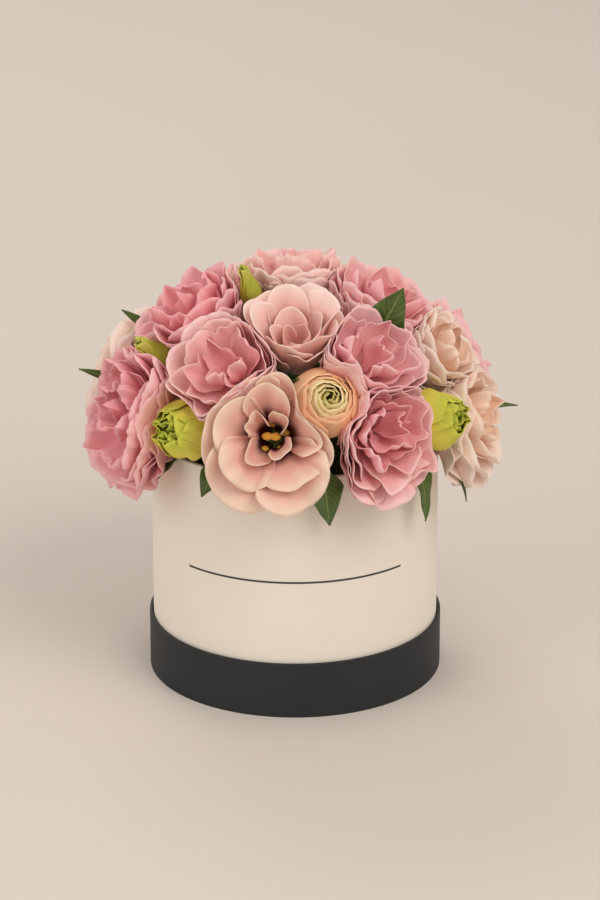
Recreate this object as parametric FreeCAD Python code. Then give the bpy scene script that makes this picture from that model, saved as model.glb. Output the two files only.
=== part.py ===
"""Round flower box: a papered board box standing in its own upturned lid, with a lift-out bouquet insert.

The lid lies open side up and the box stands in it. Inside the box is a plastic liner with a block of
floral foam, and every stem is pushed into the foam towards one focus, so that the blooms form a dome.
Millimetres, +Z up, the front is -Y, and the origin is the centre of the lid's face on the table.
"""
import FreeCAD, Part
import math
import os
from collections import namedtuple

Vector = FreeCAD.Vector

# Box
BOX_DIAMETER = 160.0          # over the cover paper
BOX_HEIGHT = 138.0            # base paper to lip
WALL_BOARD = 2.0
BASE_BOARD = 2.0
PAPER = 0.25                  # cover and lining paper
LIP_ROUND = 0.5               # rounded edge of a papered lip
BOX_TURN_IN = 16.0            # cover paper folded over the lip and down the inside
SEAM_WIDTH = 12.0             # overlap of the cover paper at the back
GLUE = 0.05                   # glue line between nested curved pieces

# Lid, used as the foot of the box
LID_HEIGHT = 32.0
LID_RIM_BOARD = 1.2
LID_PANEL_BOARD = 2.0
LID_TURN_IN = 12.0
LID_CLEARANCE = 0.6           # radial, lid to box

# Liner and foam
LINER_CLEARANCE = 0.8         # radial, liner to box lining
LINER_WALL = 0.8
LINER_FLOOR = 1.0
LINER_DROP = 15.0             # liner rim below the box lip
LINER_BEAD = 1.0              # how far the liner's rim bead stands inwards
FOAM_CLEARANCE = 0.3
FOAM_SHOULDER_DROP = 4.0      # foam shoulder below the liner rim
FOAM_SHOULDER_WIDTH = 14.5    # flat ring between the liner and the domed crown
FOAM_CROWN_HEIGHT = 45.0      # foam crown above the focus

# Bouquet dome
FOCUS_BELOW_LIP = 10.0        # the point that all stems aim at
DOME_OVERHANG = 35.0          # dome radius beyond the box wall
STEM_RADIUS = 2.2
STEM_INNER_REACH = 20.0       # stem ends, from the focus
STEM_HOLE_CLEARANCE = 0.05
CALYX_HEIGHT = 7.0
CALYX_SHOULDER_WIDTH = 0.8    # share of the neck, at the calyx's shoulder
CALYX_SHOULDER_DEPTH = 0.55   # share of the calyx's height, below the neck
BLOOM_GAP = 0.8               # between neighbouring blooms
RIM_GAP = 1.0                 # between a bloom and the box lip

# Petal wall of the open and cup blooms
PETAL_WALL = 3.0
PETAL_LOBES = 6
LOBE_NOTCH = 5.0              # radius of the notch between two petals
THROAT_RADIUS = 4.0
BOWL_LOW_LEVEL = 1 / 6        # share of the height where the wall turns up from the neck
BOWL_MIDDLE_LEVEL = 1 / 2

# Leaves
LEAF_THICKNESS = 0.8
PETIOLE_RADIUS = 1.1
LEAF_WIDEST = 0.38            # share of the length where the blade is widest
LEAF_TAPER = 0.72             # share of the length where the blade runs to its point
LEAF_TAPER_WIDTH = 0.62       # share of the greatest width there
LEAF_SECTOR = 2.5             # degrees of dome that a leaf stalk keeps free each side

# Derived levels and radii
BOX_RADIUS = BOX_DIAMETER / 2
LID_FLOOR_Z = PAPER + LID_PANEL_BOARD + PAPER
BOX_BOTTOM_Z = LID_FLOOR_Z
LIP_Z = BOX_BOTTOM_Z + BOX_HEIGHT
WALL_OUTER = BOX_RADIUS - PAPER
WALL_INNER = WALL_OUTER - WALL_BOARD
LINING_INNER = WALL_INNER - PAPER
BASE_TOP_Z = BOX_BOTTOM_Z + PAPER + BASE_BOARD
BASE_LINING_TOP_Z = BASE_TOP_Z + PAPER
LID_INNER = BOX_RADIUS + LID_CLEARANCE
LID_BOARD_INNER = LID_INNER + PAPER
LID_BOARD_OUTER = LID_BOARD_INNER + LID_RIM_BOARD
LID_RADIUS = LID_BOARD_OUTER + PAPER
LINER_OUTER = LINING_INNER - LINER_CLEARANCE
LINER_INNER = LINER_OUTER - LINER_WALL
LINER_TOP_Z = LIP_Z - LINER_DROP
LINER_FLOOR_Z = BASE_LINING_TOP_Z + LINER_FLOOR
FOAM_RADIUS = LINER_INNER - LINER_BEAD - FOAM_CLEARANCE
FOAM_SHOULDER_Z = LINER_TOP_Z - FOAM_SHOULDER_DROP
FOAM_CROWN_RADIUS = FOAM_RADIUS - FOAM_SHOULDER_WIDTH
FOCUS = Vector(0, 0, LIP_Z - FOCUS_BELOW_LIP)
DOME_RADIUS = BOX_RADIUS + DOME_OVERHANG

# The bouquet: azimuth from the front towards +X and elevation, in degrees, as seen from the focus.
# lift is how far the crown stands out of the dome. All lengths in millimetres.
Bloom = namedtuple("Bloom", "name kind azimuth elevation lift diameter height")
BLOOMS = [
    Bloom("left_ruffled_bloom", "ruffled", -67, 20, 4, 82, 50),
    Bloom("upper_left_ruffled_bloom", "ruffled", -78, 55, -2, 76, 46),
    Bloom("mid_left_ruffled_bloom", "ruffled", -27, 41, 2, 78, 46),
    Bloom("front_open_bloom", "open", -8, 22.5, -2, 82, 36),
    Bloom("crown_cup_bloom", "cup", 1, 60, -7, 64, 42),
    Bloom("top_pale_bloom", "ruffled", 180, 81, -6, 70, 42),
    Bloom("upper_right_ruffled_bloom", "ruffled", 76, 59, -3, 76, 46),
    Bloom("mid_right_ruffled_bloom", "ruffled", 31, 44, 2, 78, 46),
    Bloom("lower_right_ruffled_bloom", "ruffled", 29, 23, 3, 70, 46),
    Bloom("right_upper_peach_bloom", "ruffled", 76, 37, 2, 64, 42),
    Bloom("right_lower_peach_bloom", "ruffled", 75, 16, 2, 72, 46),
    Bloom("back_right_ruffled_bloom", "ruffled", 118, 20, 3, 84, 47),
    Bloom("back_open_bloom", "open", 163, 22, -2, 84, 36),
    Bloom("back_left_ruffled_bloom", "ruffled", -156, 20, 3, 86, 47),
    Bloom("back_left_peach_bloom", "ruffled", -111, 18, 4, 79, 44),
    Bloom("front_ranunculus", "ranunculus", 12, 33.5, -3, 34, 31),
    Bloom("back_ranunculus", "ranunculus", -178, 51, -4, 48, 32),
    Bloom("back_right_ranunculus", "ranunculus", 130, 48, -4, 44, 30),
    Bloom("left_green_bud", "ranunculus", -41, 20, 0, 32, 29),
    Bloom("right_green_bud", "ranunculus", 54, 20, 5, 31, 29),
    Bloom("back_left_green_bud", "ranunculus", -130, 47, -3, 42, 30),
    Bloom("left_slim_bud", "slim", -70, 38, 3, 15, 34),
    Bloom("top_slim_bud", "slim", -68, 74, -2, 14, 26),
]
NECK_RADIUS = {"ruffled": 6.0, "open": 6.0, "cup": 5.5, "ranunculus": 4.5, "slim": 3.5}
STEM_GROUPS = {
    "lisianthus_stems": ("ruffled", "open", "cup"),
    "ranunculus_stems": ("ranunculus",),
    "slim_bud_stems": ("slim",),
}
# How little a bloom gives way to the neighbours that it leans on
FIRMNESS = {"ruffled": 1.0, "open": 1.6, "cup": 1.4, "ranunculus": 2.2, "slim": 2.2}
LEAF_FIRMNESS = 1.0
# Height of the widest girth, as a share of the bloom's own height
BELLY = {"ruffled": 0.58, "ranunculus": 0.52, "slim": 0.42}
# Outer radii of an open bloom low down, half way and at its rim, as shares of the rim
BOWL_GIRTHS = {"open": (0.5, 0.86, 1.0), "cup": (0.58, 0.86, 1.0)}

# Leaves: stalk direction as for a bloom; the blade starts at the box's radius plus overhang, from the focus.
# droop bends the blade below the stalk, swing turns it towards +azimuth, and roll turns it about its rib.
Leaf = namedtuple("Leaf", "name azimuth elevation overhang length width droop swing roll bend")
LEAVES = [
    Leaf("front_leaf", 11, 10, 2, 29, 20, 56, -4, 10, 60),
    Leaf("front_right_leaf", 51, 10, 2, 37, 19, 62, 0, -12, 60),
    Leaf("right_curl_leaf", 65, 9.5, 6, 34, 7, 45, 4, 0, 45),
    Leaf("upper_right_leaf", 47, 51.5, 14, 38, 25, -8, 0, 118, 150),
    Leaf("centre_leaf", -2, 42.5, -4, 25, 13, 0, 6, 20, 90),
    Leaf("left_low_leaf", -53, 10, 0, 20, 14, 38, 8, 15, 70),
    Leaf("left_front_leaf", -31, 10, 0, 21, 15, 46, -8, -10, 70),
    Leaf("upper_left_leaf", -100.5, 37.5, 12, 30, 9, 0, 0, 80, 120),
    Leaf("far_left_leaf", -90, 21, 12, 36, 8, 0, 0, 85, 150),
    Leaf("far_right_leaf", 94.5, 10.5, 8, 38, 7, -4, 0, 40, 60),
    Leaf("back_right_leaf", 141, 10, 2, 34, 19, 56, 0, 10, 60),
    Leaf("back_leaf", 179, 10, 2, 36, 20, 54, 4, 0, 60),
    Leaf("back_left_leaf", -131.5, 10, 2, 32, 16, 54, 0, -8, 60),
]


def tube(outer, inner, bottom, top):
    """Upright tube about the Z axis."""
    height = top - bottom
    base = Vector(0, 0, bottom)
    return Part.makeCylinder(outer, height, base).cut(Part.makeCylinder(inner, height, base))


def disc(radius, bottom, top):
    """Flat disc about the Z axis."""
    return Part.makeCylinder(radius, top - bottom, Vector(0, 0, bottom))


def revolved(edges):
    """Closed profile in the XZ plane, turned about the Z axis."""
    face = Part.Face(Part.Wire(edges))
    return face.revolve(Vector(0, 0, 0), Vector(0, 0, 1), 360)


def profile_point(radius, level):
    """A point of a turned profile."""
    return Vector(radius, 0, level)


def line(start, end):
    """Straight edge between two profile points."""
    return Part.LineSegment(profile_point(*start), profile_point(*end)).toShape()


def arc(start, middle, end):
    """Round edge through three profile points."""
    return Part.Arc(profile_point(*start), profile_point(*middle), profile_point(*end)).toShape()


def curve(points):
    """Smooth edge through profile points."""
    spline = Part.BSplineCurve()
    spline.interpolate([profile_point(*point) for point in points])
    return spline.toShape()


def rounded_corner(centre_radius, centre_level, size, outward):
    """Quarter circle over a lip's edge, from the vertical face to the top."""
    slant = size * math.sqrt(0.5)
    side = 1 if outward else -1
    return (
        (centre_radius + side * size, centre_level),
        (centre_radius + side * slant, centre_level + slant),
        (centre_radius, centre_level + size),
    )


def folded_paper(outer, inner, bottom, lip, turn_in):
    """Cover paper that runs up the outside of a wall, over its lip and down the inside."""
    outside, inside = outer - LIP_ROUND, inner + LIP_ROUND
    level = lip - LIP_ROUND
    skin = LIP_ROUND - PAPER
    over_out = rounded_corner(outside, level, LIP_ROUND, True)
    over_in = rounded_corner(inside, level, LIP_ROUND, False)
    under_out = rounded_corner(outside, level, skin, True)
    under_in = rounded_corner(inside, level, skin, False)
    return revolved([
        line((outer, bottom), over_out[0]),
        arc(*over_out),
        line(over_out[2], over_in[2]),
        arc(*reversed(over_in)),
        line(over_in[0], (inner, lip - turn_in)),
        line((inner, lip - turn_in), (inner + PAPER, lip - turn_in)),
        line((inner + PAPER, lip - turn_in), under_in[0]),
        arc(*under_in),
        line(under_in[2], under_out[2]),
        arc(*reversed(under_out)),
        line(under_out[0], (outer - PAPER, bottom)),
        line((outer - PAPER, bottom), (outer, bottom)),
    ])


def rounded_wall(outer, inner, bottom, top, rounding):
    """Board tube with a slightly rounded lip."""
    level = top - rounding
    over_out = rounded_corner(outer - rounding, level, rounding, True)
    over_in = rounded_corner(inner + rounding, level, rounding, False)
    return revolved([
        line((outer, bottom), over_out[0]),
        arc(*over_out),
        line(over_out[2], over_in[2]),
        arc(*reversed(over_in)),
        line(over_in[0], (inner, bottom)),
        line((inner, bottom), (outer, bottom)),
    ])


def lid_parts():
    """The lid's panel and rim boards, their cover papers and the lining on its floor."""
    panel_bottom = PAPER
    panel_top = panel_bottom + LID_PANEL_BOARD
    return {
        "lid_panel_paper": disc(LID_RADIUS, 0, PAPER),
        "lid_panel_board": disc(LID_BOARD_INNER - GLUE, panel_bottom, panel_top),
        "lid_rim_board": rounded_wall(
            LID_BOARD_OUTER, LID_BOARD_INNER, PAPER, LID_HEIGHT - PAPER, LIP_ROUND - PAPER
        ),
        "lid_side_paper": folded_paper(
            LID_RADIUS, LID_INNER, PAPER, LID_HEIGHT, LID_TURN_IN
        ),
        "lid_floor_lining": disc(LID_BOARD_INNER - GLUE, panel_top, LID_FLOOR_Z),
    }


def box_parts():
    """The box's wall and base boards, cover papers, back seam and linings."""
    base_paper_top = BOX_BOTTOM_Z + PAPER
    lining_top = LIP_Z - BOX_TURN_IN
    seam_angle = math.degrees(SEAM_WIDTH / BOX_RADIUS)
    seam = tube(BOX_RADIUS + PAPER, BOX_RADIUS, base_paper_top, LIP_Z - LIP_ROUND)
    wedge = Part.makeCylinder(
        2 * BOX_RADIUS, 2 * LIP_Z, Vector(0, 0, 0), Vector(0, 0, 1), seam_angle
    )
    wedge.rotate(Vector(0, 0, 0), Vector(0, 0, 1), 90 - seam_angle / 2)
    return {
        "box_wall_board": rounded_wall(
            WALL_OUTER, WALL_INNER, base_paper_top, LIP_Z - PAPER, LIP_ROUND - PAPER
        ),
        "box_base_board": disc(WALL_INNER - GLUE, base_paper_top, BASE_TOP_Z),
        "box_base_paper": disc(BOX_RADIUS, BOX_BOTTOM_Z, base_paper_top),
        "box_side_paper": folded_paper(
            BOX_RADIUS, LINING_INNER, base_paper_top, LIP_Z, BOX_TURN_IN
        ),
        "box_back_seam": seam.common(wedge),
        "box_wall_lining": tube(WALL_INNER, LINING_INNER, BASE_LINING_TOP_Z, lining_top),
        "box_base_lining": disc(WALL_INNER - GLUE, BASE_TOP_Z, BASE_LINING_TOP_Z),
    }


def liner():
    """Thin plastic pot with a rim bead that stops the foam from floating up."""
    cup = disc(LINER_OUTER, BASE_LINING_TOP_Z, LINER_TOP_Z)
    hollow = disc(LINER_INNER, LINER_FLOOR_Z, LINER_TOP_Z)
    bead_bottom = LINER_TOP_Z - LINER_BEAD
    bead = tube(LINER_INNER, LINER_INNER - LINER_BEAD, bead_bottom, LINER_TOP_Z)
    return cup.cut(hollow).fuse(bead).removeSplitter()


def foam_block(stems):
    """Foam cylinder with a domed crown, pierced by every stem."""
    crown_top = FOCUS.z + FOAM_CROWN_HEIGHT
    crown_rise = crown_top - FOAM_SHOULDER_Z
    crown = [
        (
            FOAM_CROWN_RADIUS * math.cos(math.radians(angle)),
            FOAM_SHOULDER_Z + crown_rise * math.sin(math.radians(angle)),
        )
        for angle in range(0, 91, 15)
    ]
    crown[-1] = (0, crown_top)
    foam = revolved([
        line((0, LINER_FLOOR_Z), (FOAM_RADIUS, LINER_FLOOR_Z)),
        line((FOAM_RADIUS, LINER_FLOOR_Z), (FOAM_RADIUS, FOAM_SHOULDER_Z)),
        line((FOAM_RADIUS, FOAM_SHOULDER_Z), crown[0]),
        curve(crown),
        line(crown[-1], (0, LINER_FLOOR_Z)),
    ])
    return foam.cut(stems)


def direction(azimuth, elevation):
    """Unit vector from the focus; azimuth 0 is the front and 90 is +X."""
    turn, rise = math.radians(azimuth), math.radians(elevation)
    return Vector(
        math.cos(rise) * math.sin(turn), -math.cos(rise) * math.cos(turn), math.sin(rise)
    )


def along(ray, distance):
    """The point at that distance from the focus."""
    return FOCUS + ray * distance


def egg(bloom):
    """Closed bloom: a rounded body that swells from the neck to its girth and closes over the crown."""
    neck, girth = NECK_RADIUS[bloom.kind], bloom.diameter / 2
    belly = BELLY[bloom.kind] * bloom.height
    angles = [math.radians(step) for step in range(0, 91, 15)]
    lower = [
        (neck + (girth - neck) * math.sin(t), belly - belly * math.cos(t)) for t in angles
    ]
    upper = [
        (girth * math.cos(t), belly + (bloom.height - belly) * math.sin(t)) for t in angles
    ]
    upper[-1] = (0, bloom.height)
    return revolved([
        line((0, 0), lower[0]),
        curve(lower),
        curve(upper),
        line(upper[-1], (0, 0)),
    ])


def lobed_bowl(bloom, girths):
    """Open bloom: a petal wall that swells from the neck to a lobed rim, with an open throat.

    girths are the wall's outer radii low down, half way and at the rim, as shares of the rim."""
    neck, rim, height = NECK_RADIUS[bloom.kind], bloom.diameter / 2, bloom.height
    low, middle, top = (rim * share for share in girths)
    low_level, middle_level = height * BOWL_LOW_LEVEL, height * BOWL_MIDDLE_LEVEL
    outside = [(neck, 0), (low, low_level), (middle, middle_level), (top, height)]
    floor = low_level + PETAL_WALL
    inside = [
        (top - PETAL_WALL, height),
        (middle - PETAL_WALL, middle_level + PETAL_WALL),
        (low - PETAL_WALL, floor + PETAL_WALL),
        (THROAT_RADIUS, floor),
    ]
    bowl = revolved([
        line((0, 0), outside[0]),
        curve(outside),
        line(outside[-1], inside[0]),
        curve(inside),
        line(inside[-1], (0, floor)),
        line((0, floor), (0, 0)),
    ])
    notches = []
    for lobe in range(PETAL_LOBES):
        angle = 2 * math.pi * lobe / PETAL_LOBES
        outward = Vector(math.cos(angle), math.sin(angle), 0)
        notches.append(Part.makeCylinder(LOBE_NOTCH, 2 * rim, Vector(0, 0, height), outward))
    return bowl.cut(notches)


def bloom_body(bloom):
    """The bloom along +Z with its neck at the origin."""
    if bloom.kind in BOWL_GIRTHS:
        return lobed_bowl(bloom, BOWL_GIRTHS[bloom.kind])
    return egg(bloom)


def neck_reach(bloom):
    """Distance of the bloom's neck from the focus."""
    return DOME_RADIUS + bloom.lift - bloom.height


def sector_size(bloom):
    """Angle that the bloom takes up on the dome, in radians, from its middle to its edge."""
    middle = neck_reach(bloom) + bloom.height / 2
    return math.atan(bloom.diameter / 2 / middle)


def half_space(ray, neighbour, share):
    """Block beyond the plane through the focus that splits the angle between two rays, less half a gap."""
    between = ray.getAngle(neighbour)
    across = (neighbour - ray * math.cos(between)).normalize()
    split = between * share
    normal = across * math.cos(split) - ray * math.sin(split)
    size = 4 * DOME_RADIUS
    block = Part.makeBox(size, size, size, Vector(-size / 2, -size / 2, 0))
    block.Placement = FreeCAD.Placement(
        FOCUS - normal * (BLOOM_GAP / 2), FreeCAD.Rotation(Vector(0, 0, 1), normal)
    )
    return block


def pressed_by_neighbours(body, bloom, ray, neighbours):
    """Trims a bloom flat where it leans on its neighbours, the softer one more."""
    size = sector_size(bloom)
    hold = size * FIRMNESS[bloom.kind]
    gap_angle = BLOOM_GAP / neck_reach(bloom)
    for other, other_size, other_firmness in neighbours:
        if ray.getAngle(other) < size + other_size + gap_angle:
            share = hold / (hold + other_size * other_firmness)
            body = body.cut(half_space(ray, other, share))
    return body


def main_solid(body):
    """The bloom itself, without crumbs that the trimming leaves of its rim."""
    return max(body.Solids, key=lambda solid: solid.Volume)


def calyx(bloom):
    """Green cup under the bloom, from the stem to the neck."""
    neck = NECK_RADIUS[bloom.kind]
    shoulder = (neck * CALYX_SHOULDER_WIDTH, -CALYX_HEIGHT * CALYX_SHOULDER_DEPTH)
    return revolved([
        line((0, -CALYX_HEIGHT), (STEM_RADIUS, -CALYX_HEIGHT)),
        curve([(STEM_RADIUS, -CALYX_HEIGHT), shoulder, (neck, 0)]),
        line((neck, 0), (0, 0)),
        line((0, 0), (0, -CALYX_HEIGHT)),
    ])


def placed(body, reach, ray):
    """Moves a body from the origin to that reach, with its axis along the ray."""
    body.Placement = FreeCAD.Placement(
        along(ray, reach), FreeCAD.Rotation(Vector(0, 0, 1), ray)
    )
    return body


def bloom_parts():
    """Every bloom, and its calyx and stem, by node or group name."""
    rays = {item.name: direction(item.azimuth, item.elevation) for item in BLOOMS + LEAVES}
    sectors = {bloom.name: (sector_size(bloom), FIRMNESS[bloom.kind]) for bloom in BLOOMS}
    sectors.update({leaf.name: (math.radians(LEAF_SECTOR), LEAF_FIRMNESS) for leaf in LEAVES})
    lip_room = disc(BOX_RADIUS + RIM_GAP, 0, LIP_Z + RIM_GAP)
    blooms, calyxes, stems = {}, [], {group: [] for group in STEM_GROUPS}
    for bloom in BLOOMS:
        ray = rays[bloom.name]
        neighbours = [(rays[name], *sectors[name]) for name in rays if name != bloom.name]
        body = placed(bloom_body(bloom), neck_reach(bloom), ray)
        body = pressed_by_neighbours(body, bloom, ray, neighbours)
        blooms[bloom.name] = main_solid(body.cut(lip_room))
        calyxes.append(placed(calyx(bloom), neck_reach(bloom), ray))
        group = next(g for g, kinds in STEM_GROUPS.items() if bloom.kind in kinds)
        length = neck_reach(bloom) - CALYX_HEIGHT - STEM_INNER_REACH
        stem = Part.makeCylinder(STEM_RADIUS, length)
        stems[group].append(placed(stem, STEM_INNER_REACH, ray))
    return blooms, calyxes, stems


def leaf_part(leaf):
    """One leaf: a stalk towards the focus and a bent, pointed blade."""
    ray = direction(leaf.azimuth, leaf.elevation)
    half, length = leaf.width / 2, leaf.length
    root = PETIOLE_RADIUS
    sides = []
    for side in (1, -1):
        spline = Part.BSplineCurve()
        spline.interpolate([
            Vector(0, side * root, 0),
            Vector(length * LEAF_WIDEST, side * half, 0),
            Vector(length * LEAF_TAPER, side * half * LEAF_TAPER_WIDTH, 0),
            Vector(length, 0, 0),
        ])
        sides.append(spline.toShape())
    heel = Part.LineSegment(Vector(0, -root, 0), Vector(0, root, 0)).toShape()
    outline = Part.Face(Part.Wire([heel, sides[0], sides[1]]))
    depth = 2 * length
    prism = outline.extrude(Vector(0, 0, 2 * depth))
    prism.translate(Vector(0, 0, -depth))
    axis_start = Vector(0, -leaf.width, -leaf.bend)
    sheet = Part.makeCylinder(leaf.bend, 2 * leaf.width, axis_start, Vector(0, 1, 0)).cut(
        Part.makeCylinder(leaf.bend - LEAF_THICKNESS, 2 * leaf.width, axis_start, Vector(0, 1, 0))
    )
    upper = Part.makeBox(
        2 * length, 2 * leaf.width, leaf.bend, Vector(-length, -leaf.width, -leaf.bend)
    )
    blade = sheet.common(prism).common(upper)
    reach = BOX_RADIUS + leaf.overhang
    stalk_length = reach - STEM_INNER_REACH + PETIOLE_RADIUS
    stalk = Part.makeCylinder(PETIOLE_RADIUS, stalk_length)
    stalk = placed(stalk, STEM_INNER_REACH, ray)
    turn = math.radians(leaf.azimuth)
    sideways = Vector(math.cos(turn), math.sin(turn), 0)
    upwards = sideways.cross(ray) * -1
    frame = FreeCAD.Rotation(ray, sideways, upwards, "XYZ")
    pose = (
        frame
        .multiply(FreeCAD.Rotation(Vector(0, 0, 1), leaf.swing))
        .multiply(FreeCAD.Rotation(Vector(0, 1, 0), leaf.droop))
        .multiply(FreeCAD.Rotation(Vector(1, 0, 0), leaf.roll))
    )
    blade.translate(Vector(0, 0, LEAF_THICKNESS / 2))
    blade.Placement = FreeCAD.Placement(along(ray, reach), pose).multiply(blade.Placement)
    return stalk, blade


def main():
    """Builds every piece and writes one STEP file per node."""
    os.makedirs("parts", exist_ok=True)
    nodes = {}
    nodes.update(lid_parts())
    nodes.update(box_parts())
    nodes["liner_pot"] = liner()
    blooms, calyxes, stems = bloom_parts()
    nodes.update(blooms)
    nodes["calyxes"] = Part.makeCompound(calyxes)
    pierced = []
    for group, members in stems.items():
        nodes[group] = Part.makeCompound(members)
    for bloom in BLOOMS:
        ray = direction(bloom.azimuth, bloom.elevation)
        hole = Part.makeCylinder(STEM_RADIUS + STEM_HOLE_CLEARANCE, DOME_RADIUS)
        pierced.append(placed(hole, STEM_INNER_REACH, ray))
    for leaf in LEAVES:
        stalk, blade = leaf_part(leaf)
        nodes[leaf.name] = stalk.fuse(blade).removeSplitter()
        ray = direction(leaf.azimuth, leaf.elevation)
        hole = Part.makeCylinder(PETIOLE_RADIUS + STEM_HOLE_CLEARANCE, DOME_RADIUS)
        pierced.append(placed(hole, STEM_INNER_REACH, ray))
    nodes["floral_foam"] = foam_block(pierced)
    for name, shape in nodes.items():
        solids = shape.Solids
        print(name, len(solids), round(shape.Volume, 1), shape.isValid())
        Part.makeCompound(solids).exportStep(f"parts/{name}.step")


main()
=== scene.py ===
"""Dresses the flower box: papered box and lid, lift-out insert and a dome of blooms, buds and leaves.

Metres, +Z up, the front is -Y, and the origin is the centre of the lid's face on the table.
Every stem aims at one focus just under the box's lip, so a bloom is placed by two angles seen from there.
"""
import logging
import math
from dataclasses import dataclass, field
from enum import Enum
from typing import Sequence, Union

import bpy
import numpy as np
from mathutils import Matrix, Vector


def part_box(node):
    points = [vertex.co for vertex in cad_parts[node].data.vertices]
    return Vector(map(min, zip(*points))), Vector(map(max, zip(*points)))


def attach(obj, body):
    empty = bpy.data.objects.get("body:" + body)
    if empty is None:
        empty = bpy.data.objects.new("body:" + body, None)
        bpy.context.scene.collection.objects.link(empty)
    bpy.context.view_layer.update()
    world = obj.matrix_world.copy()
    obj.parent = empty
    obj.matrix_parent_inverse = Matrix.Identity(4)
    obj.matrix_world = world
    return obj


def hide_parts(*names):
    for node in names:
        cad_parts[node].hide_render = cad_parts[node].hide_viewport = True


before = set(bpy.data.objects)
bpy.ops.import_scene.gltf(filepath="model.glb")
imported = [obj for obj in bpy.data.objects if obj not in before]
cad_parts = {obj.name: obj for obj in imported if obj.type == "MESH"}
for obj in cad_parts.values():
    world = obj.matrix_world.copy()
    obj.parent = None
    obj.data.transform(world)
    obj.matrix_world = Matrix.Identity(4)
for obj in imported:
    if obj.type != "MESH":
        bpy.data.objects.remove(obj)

LOG = logging.getLogger("flower_box")
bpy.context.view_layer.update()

Socket = bpy.types.NodeSocket
Material = bpy.types.Material
Piece = bpy.types.Object
Triple = tuple[float, float, float]
Colour = Triple
Value = Union[float, Socket]
Array = np.ndarray
Share = Union[float, Array]
Feeds = dict[Union[int, str], object]


def srgb(red: int, green: int, blue: int) -> Colour:
    """Turns a screen colour into a linear one.

    Args:
        red, green, blue: The colour's parts, from 0 to 255.

    Returns:
        The colour's linear parts, from 0 to 1.
    """
    def part(level: int) -> float:
        """One linear part."""
        share = level / 255
        return share / 12.92 if share <= 0.04045 else ((share + 0.055) / 1.055) ** 2.4

    return part(red), part(green), part(blue)


# Placing sizes; the box's own come from the frame
LIP_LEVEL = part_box("box_side_paper")[1].z
BOX_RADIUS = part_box("box_side_paper")[1].x
FOCUS_BELOW_LIP = 0.010
DOME_OVERHANG = 0.035
FOCUS = np.array((0.0, 0.0, LIP_LEVEL - FOCUS_BELOW_LIP))
DOME_RADIUS = BOX_RADIUS + DOME_OVERHANG
RIM_GAP = 0.0012
STEM_INNER_REACH = 0.020
# Least length that is divided by
TINY = 1e-9
# A whole turn, and the turn from one petal of a spiral to the next
FULL_TURN = 2 * math.pi
GOLDEN_TURN = math.radians(137.508)


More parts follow.
